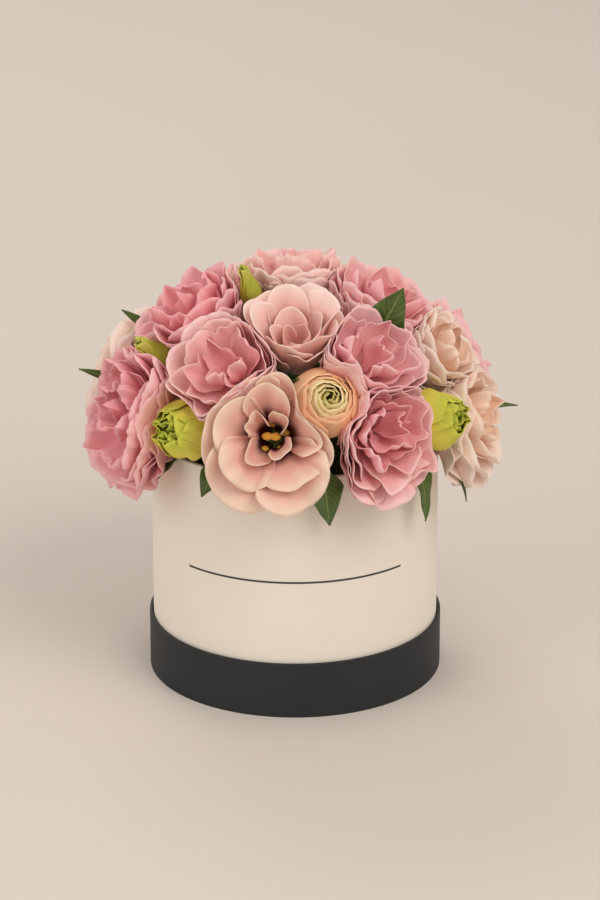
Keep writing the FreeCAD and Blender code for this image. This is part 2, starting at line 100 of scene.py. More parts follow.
class Shader:
    """Node tree of a material or a world, with short calls that add and link nodes."""

    def __init__(self, owner: Union[Material, bpy.types.World]) -> None:
        """Turns on the nodes of a material or world.

        Args:
            owner: The material or world.
        """
        owner.use_nodes = True
        self.owner = owner
        self.tree = owner.node_tree

    def feed(self, node: bpy.types.Node, feeds: Feeds) -> None:
        """Links a node's inputs, or sets their values.

        Args:
            node: The node.
            feeds: Sockets or values for its inputs, by place or name.
        """
        for place, value in feeds.items():
            if isinstance(value, Socket):
                self.tree.links.new(value, node.inputs[place])
            else:
                node.inputs[place].default_value = value

    def add(self, kind: str, feeds: Feeds, **settings: object) -> bpy.types.Node:
        """Adds a node.

        Args:
            kind: The node's type.
            feeds: Sockets or values for its inputs, by place or name.
            settings: Options of the node, by name.

        Returns:
            The new node.
        """
        node = self.tree.nodes.new(kind)
        for option, value in settings.items():
            setattr(node, option, value)
        self.feed(node, feeds)
        return node

    def coordinates(self, source: str) -> Socket:
        """Object or UV coordinates of the piece."""
        return self.add("ShaderNodeTexCoord", {}).outputs[source]

    def split(self, vector: Socket) -> bpy.types.NodeOutputs:
        """The three parts of a vector."""
        return self.add("ShaderNodeSeparateXYZ", {0: vector}).outputs

    def math(self, operation: str, first: Value, second: Value = 0.0) -> Socket:
        """One sum on two values."""
        return self.add("ShaderNodeMath", {0: first, 1: second}, operation=operation).outputs[0]

    def attribute(self, name: str) -> Socket:
        """A value stored on the mesh."""
        return self.add("ShaderNodeAttribute", {}, attribute_name=name).outputs["Fac"]

    def noise(self, vector: Socket, scale: float, detail: float = 3.0) -> Socket:
        """Cloudy noise from 0 to 1."""
        feeds = {"Vector": vector, "Scale": scale, "Detail": detail}
        return self.add("ShaderNodeTexNoise", feeds).outputs["Fac"]

    def stretched(self, vector: Socket, scale: Sequence[float]) -> Socket:
        """The vector, scaled along each axis."""
        return self.add("ShaderNodeMapping", {"Vector": vector, "Scale": scale}).outputs[0]

    def ramp(self, factor: Value, places: Sequence[float], colours: Sequence[Colour]) -> Socket:
        """Colours along a factor.

        Args:
            factor: Where on the ramp.
            places, colours: The ramp's stops, in order.

        Returns:
            The colour there.
        """
        node = self.add("ShaderNodeValToRGB", {0: factor})
        node.color_ramp.interpolation = "EASE"
        elements = node.color_ramp.elements
        while len(elements) < len(places):
            elements.new(0.5)
        for element, place, colour in zip(elements, places, colours):
            element.position = place
            element.color = (*colour, 1.0)
        return node.outputs[0]

    def mix(self, factor: Value, first: object, second: object, blend: str = "MIX") -> Socket:
        """Mixes two colours.

        Args:
            factor: Share of the second colour.
            first, second: Colours, as sockets or linear parts.
            blend: How the second lies over the first.

        Returns:
            The mixed colour.
        """
        node = self.add("ShaderNodeMix", {"Factor": factor}, data_type="RGBA", blend_type=blend)
        places = [place for place, socket in enumerate(node.inputs) if socket.type == "RGBA"]
        for place, colour in zip(places, (first, second)):
            self.feed(node, {place: colour if isinstance(colour, Socket) else (*colour, 1.0)})
        return next(socket for socket in node.outputs if socket.type == "RGBA")

    def surface(self, **levels: object) -> None:
        """Feeds the principled surface, with inputs named by underscores for spaces."""
        feeds = {name.replace("_", " "): value for name, value in levels.items()}
        self.feed(self.tree.nodes["Principled BSDF"], feeds)

    def bump(self, height: Socket, strength: float, distance: float) -> None:
        """Raises the surface by a height map.

        Args:
            height: The map, from 0 to 1.
            strength: Share of the full effect.
            distance: Depth of the map in metres.
        """
        feeds = {"Height": height, "Strength": strength, "Distance": distance}
        self.surface(Normal=self.add("ShaderNodeBump", feeds).outputs[0])


def grey(level: float) -> Colour:
    """A grey of that linear level."""
    return (level,) * 3


def scaled(colour: Colour, level: float) -> Colour:
    """A paler or darker colour of the same hue.

    Args:
        colour: The linear colour.
        level: What each part is multiplied by.

    Returns:
        The new colour, with no part over 1.
    """
    return tuple(min(1.0, part * level) for part in colour)


@dataclass(frozen=True)
class GrainFinish:
    """Stuff with a grain: two colours by cloudy noise, and a fine bump.

    With a contrast the colours change between its two levels of the noise, and otherwise evenly.
    Without a relief scale the bump follows the grain, and without a depth there is no bump.
    """

    name: str
    dark: Colour
    light: Colour
    scale: float
    detail: float
    roughness: float
    specular: float = 0.5
    contrast: Union[tuple[float, float], None] = None
    relief_scale: float = 0.0
    relief_detail: float = 3.0
    relief: float = 0.5
    depth: float = 0.0

    def material(self) -> Material:
        """Makes the material.

        Returns:
            The new material.
        """
        shader = Shader(bpy.data.materials.new(self.name))
        place = shader.coordinates("Object")
        grain = shader.noise(place, self.scale, self.detail)
        if self.contrast:
            colour = shader.ramp(grain, self.contrast, (self.dark, self.light))
        else:
            colour = shader.mix(grain, self.dark, self.light)
        if self.depth:
            fine = shader.noise(place, self.relief_scale, self.relief_detail) if self.relief_scale else grain
            shader.bump(fine, self.relief, self.depth)
        shader.surface(Base_Color=colour, Roughness=self.roughness, Specular_IOR_Level=self.specular)
        return shader.owner


@dataclass(frozen=True)
class PaperFinish:
    """Matte cover paper with fine fibres and a faint mottle."""

    name: str
    colour: Colour
    shade: Colour
    roughness: float = 0.72

    MOTTLE_SCALE = 38.0
    FIBRE_SCALE = 1500.0
    FIBRE_STRETCH = (1.0, 1.0, 0.35)
    FIBRE_RELIEF = 0.35
    FIBRE_DEPTH = 0.00004
    SPECK_LEVELS = (0.3, 0.7)
    SPECK_SHARE = 0.10

    def material(self) -> Material:
        """Makes the paper's material.

        Returns:
            The new material.
        """
        shader = Shader(bpy.data.materials.new(self.name))
        place = shader.coordinates("Object")
        mottle = shader.noise(place, self.MOTTLE_SCALE, 4.0)
        fibre = shader.noise(shader.stretched(place, self.FIBRE_STRETCH), self.FIBRE_SCALE, 2.0)
        colour = shader.mix(mottle, self.colour, self.shade)
        fleck = shader.ramp(fibre, self.SPECK_LEVELS, (self.shade, self.colour))
        specked = shader.mix(self.SPECK_SHARE, colour, fleck)
        shader.bump(fibre, self.FIBRE_RELIEF, self.FIBRE_DEPTH)
        shader.surface(Base_Color=specked, Roughness=self.roughness, Specular_IOR_Level=0.32)
        return shader.owner


@dataclass(frozen=True)
class LeafFinish:
    """Leaf blade with a pale midrib and side veins, read from the blade's own UV."""

    name: str = "leaf_green"
    colour: Colour = srgb(84, 108, 44)
    shade: Colour = srgb(50, 72, 28)
    rib: Colour = srgb(128, 148, 78)

    VEIN_COUNT = 9.0
    VEIN_SLANT = 0.55
    VEIN_SHARPNESS = 8.0
    VEIN_SHARE = 0.30
    RIB_EDGES = (0.012, 0.04)
    RIB_SHARE = 0.75
    CLOUD_SCALE = 110.0
    RELIEF = 0.5
    DEPTH = 0.00018

    def material(self) -> Material:
        """Makes the leaf's material.

        Returns:
            The new material.
        """
        shader = Shader(bpy.data.materials.new(self.name))
        across, along, _ = shader.split(shader.coordinates("UV"))
        aside = shader.math("ABSOLUTE", shader.math("SUBTRACT", across, 0.5))
        slant = shader.math("SUBTRACT", along, shader.math("MULTIPLY", aside, self.VEIN_SLANT))
        wave = shader.math("SINE", shader.math("MULTIPLY", slant, self.VEIN_COUNT * FULL_TURN))
        raised = shader.math("ADD", shader.math("MULTIPLY", wave, 0.5), 0.5)
        vein = shader.math("POWER", raised, self.VEIN_SHARPNESS)
        cloud = shader.noise(shader.coordinates("Object"), self.CLOUD_SCALE, 4.0)
        blade = shader.mix(cloud, self.shade, self.colour)
        veined = shader.mix(shader.math("MULTIPLY", vein, self.VEIN_SHARE), blade, self.rib)
        midrib = shader.ramp(aside, self.RIB_EDGES, (grey(1.0), grey(0.0)))
        coloured = shader.mix(shader.math("MULTIPLY", midrib, self.RIB_SHARE), veined, self.rib)
        shader.bump(shader.math("ADD", vein, midrib), self.RELIEF, self.DEPTH)
        shader.surface(Base_Color=coloured, Roughness=0.46, Specular_IOR_Level=0.42)
        return shader.owner


@dataclass(frozen=True)
class PetalFinish:
    """Soft petal: colour runs from the throat to the rim, with fan veins and a tone of its own per petal.

    The throat's colour holds to throat_hold and gives way to the body's by throat_end. The heart's colour
    tints the innermost petals, and the guard's the petals beyond guard_start, from 0 to 1 outwards.
    """

    name: str
    # The throat's deeper colour is partly the petal's own and partly painted shade in the folds near the neck
    throat: Colour
    body: Colour
    rim: Colour
    heart: Colour
    throat_hold: float = 0.02
    throat_end: float = 0.38
    rim_start: float = 0.72
    vein: float = 0.12
    slot: str = "pink_petal"
    guard: Union[Colour, None] = None
    guard_start: float = 0.9

    CLOUD_SCALE = 85.0
    WANDER = 0.22
    HEART_SHARE = 0.7
    HEART_END = 0.5
    GUARD_SHARE = 0.85
    GUARD_BLEND = 0.06
    TONE_SHARE = 0.20
    STRAND_STRETCH = (34.0, 2.2, 1.0)
    STRAND_LEVELS = (0.42, 0.72)
    STRAND_RELIEF = 0.45
    STRAND_DEPTH = 0.00035

    def material(self) -> Material:
        """Makes the petal's material.

        Returns:
            The new material.
        """
        shader = Shader(bpy.data.materials.new(self.name))
        uv = shader.coordinates("UV")
        _, along, _ = shader.split(uv)
        cloud = shader.noise(shader.coordinates("Object"), self.CLOUD_SCALE, 4.0)
        wander = shader.math("MULTIPLY", shader.math("SUBTRACT", cloud, 0.5), self.WANDER)
        # Throat to rim along each petal: the deeper throat is partly the petal's own colour and partly
        # painted shade in the folds
        places = (self.throat_hold, self.throat_end, self.rim_start, 1.0)
        colours = (self.throat, self.body, self.body, self.rim)
        run = shader.ramp(shader.math("ADD", along, wander), places, colours)
        ring = shader.attribute("ring")
        inner = shader.ramp(ring, (0.0, self.HEART_END), (grey(self.HEART_SHARE), grey(0.0)))
        petal = shader.mix(inner, run, self.heart)
        if self.guard:
            blend = (self.guard_start - self.GUARD_BLEND, self.guard_start)
            outer = shader.ramp(ring, blend, (grey(0.0), grey(self.GUARD_SHARE)))
            petal = shader.mix(outer, petal, self.guard)
        deep = shader.mix(1.0, petal, petal, "MULTIPLY")
        toned = shader.mix(shader.math("MULTIPLY", shader.attribute("tone"), self.TONE_SHARE), petal, deep)
        strands = shader.noise(shader.stretched(uv, self.STRAND_STRETCH), 1.0, 3.0)
        lines = shader.ramp(strands, self.STRAND_LEVELS, (grey(0.0), grey(1.0)))
        veined = shader.mix(shader.math("MULTIPLY", lines, self.vein), toned, deep)
        shader.bump(strands, self.STRAND_RELIEF, self.STRAND_DEPTH)
        shader.surface(
            Base_Color=veined,
            Roughness=0.66,
            Specular_IOR_Level=0.16,
            Subsurface_Weight=0.15,
            Subsurface_Radius=(1.0, 0.55, 0.5),
            Subsurface_Scale=0.005,
        )
        return shader.owner


# Finishes of the box, the lid and the insert
CREAM_PAPER = PaperFinish("cream_paper", srgb(240, 232, 219), srgb(234, 225, 211))
CHARCOAL_PAPER = PaperFinish("charcoal_paper", srgb(41, 43, 46), srgb(35, 37, 40), roughness=0.62)
BOARD = GrainFinish(
    "greyboard", srgb(112, 104, 94), srgb(150, 142, 130), scale=700.0, detail=5.0,
    roughness=0.86, specular=0.2, contrast=(0.38, 0.56), relief=0.5, depth=0.00008,
)
PLASTIC = GrainFinish(
    "liner_plastic", srgb(58, 66, 56), scaled(srgb(58, 66, 56), 1.25), scale=60.0, detail=3.0,
    roughness=0.42, relief_scale=900.0, relief_detail=2.0, relief=0.2, depth=0.00005,
)
FOAM = GrainFinish(
    "floral_foam", srgb(38, 54, 30), srgb(70, 92, 52), scale=900.0, detail=6.0,
    roughness=0.95, specular=0.1, contrast=(0.35, 0.62), relief=0.9, depth=0.0004,
)
STEM = GrainFinish(
    "stem_green", srgb(74, 102, 42), srgb(112, 140, 62), scale=120.0, detail=3.0,
    roughness=0.5, relief_scale=1400.0, relief=0.3, depth=0.00008,
)
POLLEN = GrainFinish(
    "pollen", srgb(206, 142, 40), srgb(240, 196, 76), scale=1800.0, detail=4.0,
    roughness=0.7, relief=0.7, depth=0.0003,
)
INK = GrainFinish(
    "printed_ink", srgb(44, 42, 42), scaled(srgb(44, 42, 42), 1.9), scale=2200.0, detail=3.0, roughness=0.6,
)

# Finishes of the blooms: throat, body, rim and heart; each throat's deeper colour is partly the petal's own
# and partly painted shade in the folds
PINK = PetalFinish(
    "pink_petal", srgb(243, 166, 172), srgb(246, 182, 185), srgb(250, 206, 204), srgb(243, 170, 175)
)
GUARDED = PetalFinish(
    "guarded_petal", srgb(244, 174, 177), srgb(247, 190, 190), srgb(250, 212, 208), srgb(244, 178, 180),
    guard=srgb(246, 222, 200), guard_start=0.90,
)
MALLOW = PetalFinish(
    "mallow_petal", srgb(245, 176, 180), srgb(248, 192, 194), srgb(251, 212, 210), srgb(245, 180, 184)
)
ROSE = PetalFinish(
    "rose_petal", srgb(239, 152, 160), srgb(242, 168, 174), srgb(247, 194, 195), srgb(239, 157, 165)
)
BLUSH = PetalFinish(
    "blush_petal", srgb(244, 184, 181), srgb(247, 202, 196), srgb(250, 219, 211), srgb(244, 188, 184)
)
PEACH = PetalFinish(
    "peach_petal", srgb(249, 208, 184), srgb(250, 219, 200), srgb(250, 230, 218), srgb(249, 212, 184),
    slot="peach_petal",
)
THROATED = PetalFinish(
    "throated_petal", srgb(74, 10, 28), srgb(236, 184, 170), srgb(243, 212, 190), srgb(226, 160, 152),
    throat_hold=0.40, throat_end=0.66, rim_start=0.74, slot="pale_pink_petal",
)
CUPPED = PetalFinish(
    "cupped_petal", srgb(246, 190, 182), srgb(249, 206, 197), srgb(251, 222, 211), srgb(246, 192, 184),
    slot="pale_pink_petal",
)
CREAM = PetalFinish(
    "cream_petal", srgb(244, 202, 132), srgb(249, 220, 156), srgb(250, 232, 182), srgb(204, 192, 88),
    vein=0.08, slot="cream_petal", guard=srgb(249, 198, 158), guard_start=0.66,
)
LIME = PetalFinish(
    "lime_petal", srgb(180, 178, 54), srgb(228, 216, 96), srgb(206, 206, 80), srgb(148, 168, 50),
    vein=0.18, slot="lime_petal",
)
OLIVE = PetalFinish(
    "olive_petal", srgb(136, 146, 48), srgb(190, 190, 74), srgb(214, 210, 104), srgb(150, 158, 54),
    vein=0.30, slot="lime_petal",
)


class Modeller:
    """Calls that work on one object at a time, as by hand."""

    @staticmethod
    def clear() -> None:
        """Leaves nothing selected."""
        bpy.ops.object.select_all(action="DESELECT")

    @staticmethod
    def choose(*pieces: Piece) -> None:
        """Selects only these objects; the first one is active.

        Args:
            pieces: The objects.
        """
        Modeller.clear()
        for piece in pieces:
            piece.select_set(True)
        bpy.context.view_layer.objects.active = pieces[0]

    @staticmethod
    def sheet(columns: int, rows: int) -> tuple[Piece, Array, Array]:
        """Adds a flat sheet with its UV map.

        Args:
            columns, rows: Its cells across and along.

        Returns:
            The sheet, and where each point lies: from -1 to 1 across and from 0 to 1 along.
        """
        Modeller.clear()
        bpy.ops.mesh.primitive_grid_add(x_subdivisions=columns, y_subdivisions=rows, size=2.0)
        piece = bpy.context.active_object
        flat = Modeller.points(piece)
        return piece, flat[:, 0], (flat[:, 1] + 1) / 2

    @staticmethod
    def rod(sides: int, radius: float) -> tuple[Piece, Array, Array]:
        """Adds a rod of unit length.

        Args:
            sides: Corners of its section.
            radius: In metres.

        Returns:
            The rod, its points, and each point's share of the way from the lower end to the upper.
        """
        Modeller.clear()
        bpy.ops.mesh.primitive_cylinder_add(vertices=sides, radius=radius, depth=1.0)
        piece = bpy.context.active_object
        rows = Modeller.points(piece)
        return piece, rows, rows[:, 2:3] + 0.5

    @staticmethod
    def smooth(piece: Piece) -> None:
        """Shades a piece smoothly."""
        Modeller.choose(piece)
        bpy.ops.object.shade_smooth()

    @staticmethod
    def points(piece: Piece) -> Array:
        """The mesh's points as rows.

        Args:
            piece: The object.

        Returns:
            A row of x, y and z for each point.
        """
        flat = np.empty(len(piece.data.vertices) * 3, np.float32)
        piece.data.vertices.foreach_get("co", flat)
        return flat.reshape(-1, 3).astype(float)

    @staticmethod
    def move_points(mesh: bpy.types.Mesh, rows: Array) -> None:
        """Puts the mesh's points at these rows."""
        mesh.vertices.foreach_set("co", rows.astype(np.float32).ravel())
        mesh.update()

    @staticmethod
    def thicken(piece: Piece, thickness: float) -> None:
        """Gives a sheet its thickness.

        Args:
            piece: The sheet.
            thickness: In metres, half to each side.
        """
        Modeller.choose(piece)
        wall = piece.modifiers.new("thickness", "SOLIDIFY")
        wall.thickness = thickness
        wall.offset = 0.0
        bpy.ops.object.modifier_apply(modifier=wall.name)
        bpy.ops.object.shade_smooth()

    @staticmethod
    def join(pieces: Sequence[Piece], name: str) -> Piece:
        """Joins objects into the first one and names it.

        Args:
            pieces: The objects.
            name: The joined object's name.

        Returns:
            The joined object.
        """
        Modeller.choose(*pieces)
        if len(pieces) > 1:
            bpy.ops.object.join()
        joined = bpy.context.view_layer.objects.active
        joined.name = name
        joined.data.name = name
        return joined


def eased(start: float, end: float, values: Array) -> Array:
    """Smooth step from 0 at start to 1 at end."""
    share = np.clip((values - start) / (end - start), 0.0, 1.0)
    return share * share * (3 - 2 * share)


def between(first: float, second: float, share: Share) -> Share:
    """The value at that share of the way."""
    return first + (second - first) * share


def direction(azimuth: float, elevation: float) -> Array:
    """Unit vector from the focus; azimuth 0 is the front and 90 is +X, in degrees."""
    turn, rise = math.radians(azimuth), math.radians(elevation)
    return np.array((math.cos(rise) * math.sin(turn), -math.cos(rise) * math.cos(turn), math.sin(rise)))


def sideways(azimuth: float) -> Array:
    """Level unit vector across that azimuth, towards a larger azimuth."""
    turn = math.radians(azimuth)
    return np.array((math.cos(turn), math.sin(turn), 0.0))


@dataclass
class Petal:
    """One petal in its bloom's own frame: axis along +Z, neck at the origin, lengths in metres.

    The middle line runs from foot to tip in the plane of radius and height. foot_lean and tip_lean are the
    line's slopes there, in degrees from the bloom's axis, and swell is how far it keeps to each of them.
    The sheet wraps half_width radians to each side. frill is the depth of its ruffles and waves their
    number. rounding cuts the rim's corners back, tuck lays one edge over the next petal, cup bows both edges,
    fringe is the depth of the rim's teeth, curl turns the rim out and widen keeps a rim near the axis from
    ending in a point. ring (0 at the heart, 1 outside) and tone are for the finish.
    """

    foot: tuple[float, float]
    tip: tuple[float, float]
    foot_lean: float
    tip_lean: float
    turn: float
    half_width: float
    frill: float
    waves: float
    phase: float
    ring: float
    tone: float
    rounding: float
    tuck: float
    cup: float = 0.0
    twist: float = 0.0
    fringe: float = 0.0
    curl: float = 0.0
    widen: float = 0.0
    swell: tuple[float, float] = (0.42, 0.38)

    # How square the rim's corners are
    EDGE_POWER = 2.4
    # Pace of the rim's teeth, and where along the petal they start and are full
    TEETH = (23.0, 9.0)
    TOOTHED = (0.7, 1.0)
    LONGEST = 1.15
    # Depth, pace and lag of each wave that makes up the ruffles
    RUFFLES = ((1.0, 1.0, 1.0), (0.45, 2.1, 1.7), (0.15, 3.7, 2.9))
    CORNER_CALM = 0.5
    # Where along the petal it comes free of its neighbours, and how freely it moves there at first
    FREED = (0.25, 1.0)
    FIRST_FREEDOM = 0.45
    CURLED = (0.66, 1.0)
    # Width at the foot, where the full width is reached, and how much the rim narrows again
    FOOT_WIDTH = 0.42
    FULL_WIDTH = (0.0, 0.55)
    RIM_NARROWING = 0.10
    # How far the ruffles gather the sheet sideways
    GATHER = 0.16
    GATHER_PACE = 1.6
    GATHER_RADIUS = 0.014
    # A rim nearer to the axis than this widens
    WIDEN_RADIUS = 0.014
    WIDENED = (0.35, 0.85)
    LEAST_RADIUS = 0.0004

    def middle_line(self, run: Array) -> tuple[Array, Array]:
        """Radius and height along the middle line, and its outward normal.

        Args:
            run: Share of the way from foot to tip, for each point.

        Returns:
            Rows of radius and height, and rows of the outward normal in the same plane.
        """
        foot, tip = np.array(self.foot), np.array(self.tip)
        span = float(np.linalg.norm(tip - foot))
        lean_out, lean_in = math.radians(self.foot_lean), math.radians(self.tip_lean)
        second = foot + self.swell[0] * span * np.array((math.sin(lean_out), math.cos(lean_out)))
        third = tip - self.swell[1] * span * np.array((math.sin(lean_in), math.cos(lean_in)))
        t = run[:, None]
        rest = 1 - t
        line = rest**3 * foot + 3 * t * rest**2 * second + 3 * t**2 * rest * third + t**3 * tip
        slope = 3 * rest**2 * (second - foot) + 6 * t * rest * (third - second) + 3 * t**2 * (tip - third)
        slope /= np.maximum(np.linalg.norm(slope, axis=1, keepdims=True), TINY)
        return line, np.stack((slope[:, 1], -slope[:, 0]), axis=1)

    def shaped(self, across: Array, along: Array) -> Array:
        """Places the sheet's points.

        Args:
            across: From -1 to 1, edge to edge.
            along: From 0 at the foot to 1 at the rim.

        Returns:
            Rows of x, y and z.
        """
        edge = np.abs(across) ** self.EDGE_POWER
        fine, coarse = self.TEETH
        tooth = self.fringe * np.sin(across * fine + self.phase * 3) * np.sin(across * coarse + self.phase)
        run = along * (1 - self.rounding * edge + tooth * eased(*self.TOOTHED, along))
        line, outward = self.middle_line(np.clip(run, 0.0, self.LONGEST))
        free = eased(*self.FREED, along) * between(self.FIRST_FREEDOM, 1.0, along)
        beat = self.waves * math.pi * across
        ruffle = sum(depth * np.sin(pace * beat + lag * self.phase) for depth, pace, lag in self.RUFFLES)
        ruffle *= 1 - self.CORNER_CALM * edge
        shift = self.frill * free * ruffle + self.tuck * across * free + self.cup * across**2 * free
        shift += self.curl * eased(*self.CURLED, along) ** 2
        line = line + outward * shift[:, None]
        radius = np.maximum(line[:, 0], self.LEAST_RADIUS)
        width = between(self.FOOT_WIDTH, 1.0, eased(*self.FULL_WIDTH, along)) - self.RIM_NARROWING * along**4
        near_axis = np.clip(self.WIDEN_RADIUS / radius - 1, 0.0, 1.0)
        width *= 1 + self.widen * eased(*self.WIDENED, along) * near_axis
        gather = self.GATHER * self.frill / max(self.tip[0], self.GATHER_RADIUS)
        aside = gather * free * np.cos(self.GATHER_PACE * beat + self.phase)
        angle = self.turn + self.half_width * across * width + aside + self.twist * along
        return np.stack((radius * np.cos(angle), radius * np.sin(angle), line[:, 1]), axis=1)


@dataclass(frozen=True)
class Plan:
    """A layout of petals; in those below, between() runs from the heart's value to the outermost petal's."""

    count: int

    def petal(self, bloom: "Bloom", chance: np.random.Generator, number: int) -> Petal:
        """One petal, counted from the heart outwards.

        Args:
            bloom: The bloom that it belongs to.
            chance: Source of the small differences.
            number: Its place in the layout.

        Returns:
            The petal.
        """
        raise NotImplementedError

    def seed(self, bloom: "Bloom") -> int:
        """Seed of the layout's small differences."""
        return bloom.seed

    def petals(self, bloom: "Bloom") -> list[Petal]:
        """Every petal of the layout."""
        chance = np.random.default_rng(self.seed(bloom))
        return [self.petal(bloom, chance, number) for number in range(self.count)]


@dataclass(frozen=True)
class Ball(Plan):
    """Petals in a spiral whose rims lie all over a ball.

    widest is the angle of the outermost rims from the crown and flare how far they turn out, in degrees.
    frill is the depth of the ruffles as a share of the bloom's radius, and breadth scales the width.
    """

    widest: float
    waves: float
    frill: float
    flare: float
    fringe: float
    breadth: float = 1.0

    # The ball is a little fuller than the bloom, which the neighbours then press into shape
    FULLNESS = 1.24
    BELLY = 0.58
    UNDERSIDE = 0.85
    WIDEN = 0.8
    # Where the rings start, and how they close up outwards
    FIRST_RING = 0.6
    RING_POWER = 0.80

    def rim(self, bloom: "Bloom", angle: float) -> tuple[float, float]:
        """A point on the bloom's rounded outside.

        Args:
            bloom: The bloom.
            angle: From the crown, in degrees.

        Returns:
            Radius and height.
        """
        middle = self.BELLY * bloom.height
        reach = bloom.height - middle if angle < 90 else self.UNDERSIDE * middle
        bend = math.radians(angle)
        return bloom.radius * self.FULLNESS * math.sin(bend), middle + reach * math.cos(bend)

    def petal(self, bloom: "Bloom", chance: np.random.Generator, number: int) -> Petal:
        """One petal of the layout.

        Args:
            bloom, chance, number: As for every layout.

        Returns:
            The petal.
        """
        ring = ((number + self.FIRST_RING) / self.count) ** self.RING_POWER
        angle = between(1.0, self.widest, ring) + chance.uniform(-4, 6)
        radius, level = self.rim(bloom, angle)
        reach = chance.uniform(0.93, 1.04)
        return Petal(
            foot=(between(0.0012, bloom.neck * 0.9, ring), between(0.34, 0.01, ring) * bloom.height),
            tip=(radius * reach, level * between(1.0, reach, 0.5)),
            foot_lean=between(6.0, 66.0, ring),
            tip_lean=0.55 * angle + between(-58.0, self.flare, ring) + chance.uniform(-16, 16),
            turn=number * GOLDEN_TURN + chance.uniform(-0.2, 0.2),
            half_width=self.breadth * between(1.05, 0.60, ring) * chance.uniform(0.85, 1.15),
            frill=self.frill * bloom.radius * chance.uniform(0.75, 1.25) * between(0.9, 1.2, ring),
            waves=self.waves * chance.uniform(0.8, 1.25),
            phase=chance.uniform(0, FULL_TURN),
            ring=ring,
            tone=chance.uniform(0, 1),
            rounding=chance.uniform(0.28, 0.44),
            tuck=0.05 * bloom.radius * chance.uniform(0.2, 1.0),
            cup=-0.05 * bloom.radius * chance.uniform(-0.4, 1.0),
            fringe=self.fringe,
            widen=self.WIDEN,
            curl=0.05 * bloom.radius * chance.uniform(0.1, 1.2),
        )


@dataclass(frozen=True)
class Row(Plan):
    """One row of like petals round the axis.

    tip is the rim's radius and height as shares of the bloom's, leans the slopes at foot and rim in degrees
    from the axis, half_width and start angles in radians, frill a share of the radius, ring 1 for the
    outermost row, and draw a number that sets the row's small differences.
    """

    tip: tuple[float, float]
    leans: tuple[float, float]
    half_width: float
    frill: float
    ring: float
    start: float
    draw: int
    waves: float = 1.5

    SEED_STEP = 31

    def seed(self, bloom: "Bloom") -> int:
        """Seed of the row's small differences, which is its own in each bloom."""
        return bloom.seed * self.SEED_STEP + self.draw

    def petal(self, bloom: "Bloom", chance: np.random.Generator, number: int) -> Petal:
        """One petal of the layout.

        Args:
            bloom, chance, number: As for every layout.

        Returns:
            The petal.
        """
        return Petal(
            foot=(bloom.neck * between(0.45, 0.9, self.ring), 0.03 * bloom.height),
            tip=(
                self.tip[0] * bloom.radius * chance.uniform(0.93, 1.05),
                self.tip[1] * bloom.height * chance.uniform(0.93, 1.04),
            ),
            foot_lean=self.leans[0],
            tip_lean=self.leans[1] + chance.uniform(-13, 13),
            turn=self.start + FULL_TURN * number / self.count + chance.uniform(-0.09, 0.09),
            half_width=self.half_width * chance.uniform(0.92, 1.08),
            frill=self.frill * bloom.radius * chance.uniform(0.6, 1.3),
            waves=self.waves * chance.uniform(0.75, 1.3),
            phase=chance.uniform(0, FULL_TURN),
            ring=self.ring,
            tone=chance.uniform(0, 0.8),
            rounding=chance.uniform(0.16, 0.26),
            tuck=0.06 * bloom.radius,
            cup=-0.07 * bloom.radius * chance.uniform(0.3, 1.2),
        )


@dataclass(frozen=True)
class Shells(Plan):
    """Cupped petals, one over another, whose rims close in towards the crown.

    crown is the height of the outermost rims and opening their radius, as shares of the bloom's.
    """

    crown: float
    frill: float
    opening: float

    FIRST_RING = 0.5
    HEART_TOP = 0.97
    FALL_POWER = 1.6

    def petal(self, bloom: "Bloom", chance: np.random.Generator, number: int) -> Petal:
        """One petal of the layout.

        Args:
            bloom, chance, number: As for every layout.

        Returns:
            The petal.
        """
        ring = (number + self.FIRST_RING) / self.count
        top = between(self.HEART_TOP, self.crown, ring**self.FALL_POWER)
        level = top * bloom.height * chance.uniform(0.97, 1.02)
        return Petal(
            foot=(between(0.001, bloom.neck * 0.8, ring), between(0.2, 0.01, ring) * bloom.height),
            tip=(bloom.radius * between(0.06, self.opening, ring), level),
            foot_lean=between(25.0, 86.0, ring),
            tip_lean=between(-24.0, -34.0, ring) + chance.uniform(-8, 8),
            turn=number * GOLDEN_TURN + chance.uniform(-0.15, 0.15),
            half_width=between(1.1, 0.82, ring),
            frill=self.frill * bloom.radius * chance.uniform(0.5, 1.4),
            waves=chance.uniform(1.0, 2.2),
            phase=chance.uniform(0, FULL_TURN),
            ring=ring,
            tone=chance.uniform(0, 0.8),
            rounding=chance.uniform(0.06, 0.14),
            tuck=0.03 * bloom.radius,
            swell=(between(0.4, 0.92, ring), between(0.36, 0.62, ring)),
        )


@dataclass(frozen=True)
class Spindle(Plan):
    """Long petals, twisted round one another into a closed bud; those after the outer ones close its tip."""

    outer: int

    def petal(self, bloom: "Bloom", chance: np.random.Generator, number: int) -> Petal:
        """One petal of the layout.

        Args:
            bloom, chance, number: As for every layout.

        Returns:
            The petal.
        """
        inside = number >= self.outer
        return Petal(
            foot=(bloom.neck * 0.8, 0.01 * bloom.height),
            tip=(bloom.radius * (0.10 if inside else 0.42), bloom.height * (1.0 if inside else 0.93)),
            foot_lean=38.0,
            tip_lean=-10.0 if inside else 12.0,
            turn=FULL_TURN * number / self.outer + chance.uniform(-0.1, 0.1),
            half_width=1.25,
            frill=0.10 * bloom.radius,
            waves=1.4,
            phase=chance.uniform(0, FULL_TURN),
            ring=0.3 if inside else 0.9,
            tone=chance.uniform(0, 1),
            rounding=0.10,
            tuck=0.16 * bloom.radius,
            twist=1.1,
            swell=(0.5, 0.42),
        )


@dataclass(frozen=True)
class Make:
    """What blooms of a kind share.

    firmness is how little they give way to neighbours, and grid is a petal sheet's cells across and along.
    """

    neck: float
    firmness: float
    grid: tuple[int, int]
    plans: tuple[Plan, ...]


